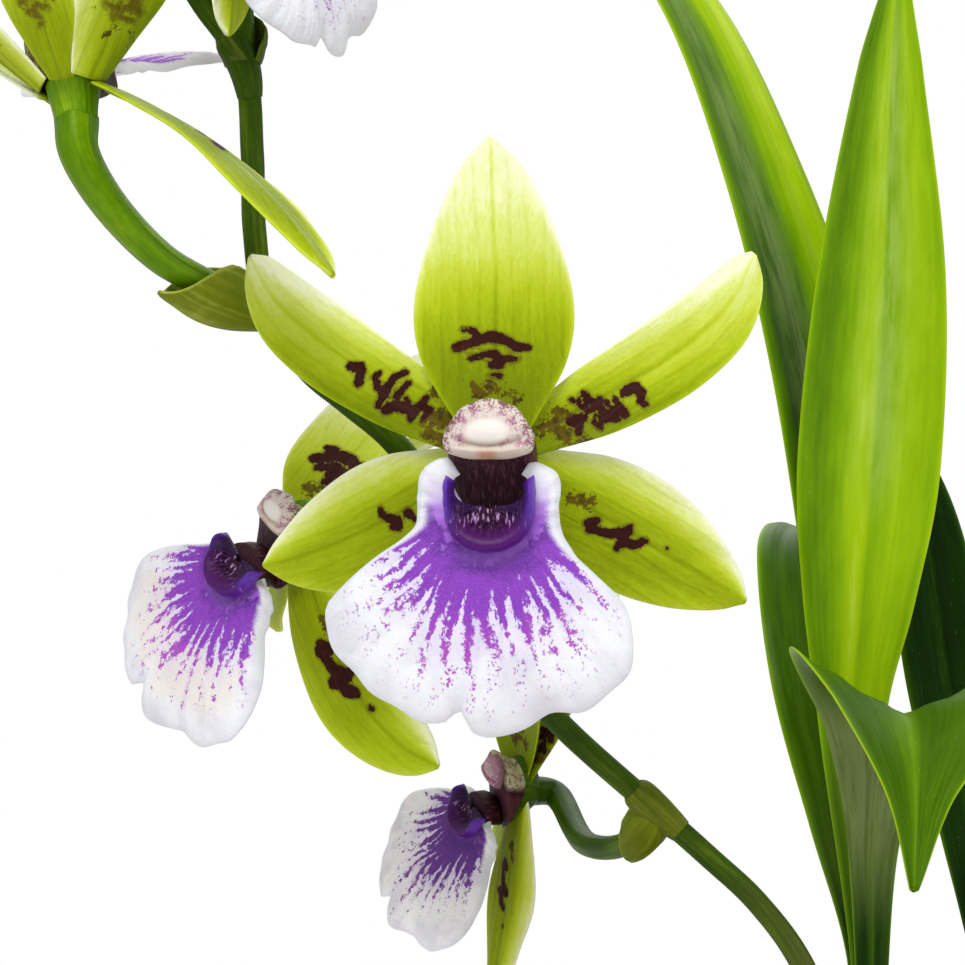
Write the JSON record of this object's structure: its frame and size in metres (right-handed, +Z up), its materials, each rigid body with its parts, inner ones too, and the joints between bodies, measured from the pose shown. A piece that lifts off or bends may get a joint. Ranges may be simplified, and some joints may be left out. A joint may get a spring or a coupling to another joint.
{
  "type": "potted zygodisanthus orchid",
  "caption": "Flowering orchid with blotched green tepals, white and violet lips and strap leaves rising from pseudobulbs in a clay pot filled with bark.",
  "frame": {"origin": "centre of the pot's flat underside, on the surface it stands on", "axes": "+Z up along the pot's axis, -Y towards the viewer of the picture, +X to the viewer's right"},
  "size_m": [0.222, 0.1636, 0.3175],
  "materials": {
    "tepal": "satin",
    "lip": "satin",
    "callus": "satin",
    "column": "satin",
    "anther_cap": "satin",
    "stem": "satin",
    "bud": "satin",
    "leaf": "satin",
    "pseudobulb": "satin",
    "sheath": "matte",
    "pot": "matte",
    "bark": "matte"
  },
  "bodies": {
    "root": {"front_bloom_tepals": "tepal", "front_bloom_lip": "lip", "front_bloom_callus": "callus", "front_bloom_column": "column", "front_bloom_anther_cap": "anther_cap", "left_bloom_tepals": "tepal", "left_bloom_lip": "lip", "left_bloom_callus": "callus", "left_bloom_column": "column", "left_bloom_anther_cap": "anther_cap", "lower_bloom_tepals": "tepal", "lower_bloom_lip": "lip", "lower_bloom_callus": "callus", "lower_bloom_column": "column", "lower_bloom_anther_cap": "anther_cap", "upper_bloom_tepals": "tepal", "upper_bloom_lip": "lip", "upper_bloom_callus": "callus", "upper_bloom_column": "column", "upper_bloom_anther_cap": "anther_cap", "top_bloom_tepals": "tepal", "top_bloom_lip": "lip", "top_bloom_callus": "callus", "top_bloom_column": "column", "top_bloom_anther_cap": "anther_cap", "flower_stem": "stem", "end_bud": "bud", "leaf_front": "leaf", "leaf_behind_left": "leaf", "leaf_arching_back": "leaf", "leaf_bent_over": "leaf", "leaf_back_dark": "leaf", "leaf_right": "leaf", "leaf_far_right": "leaf", "pseudobulb_young": "pseudobulb", "pseudobulb_ripe": "pseudobulb", "pseudobulb_old": "pseudobulb", "leaf_sheath": "sheath", "pot": "pot", "bark_mix": "bark"}
  },
  "joints": []
}
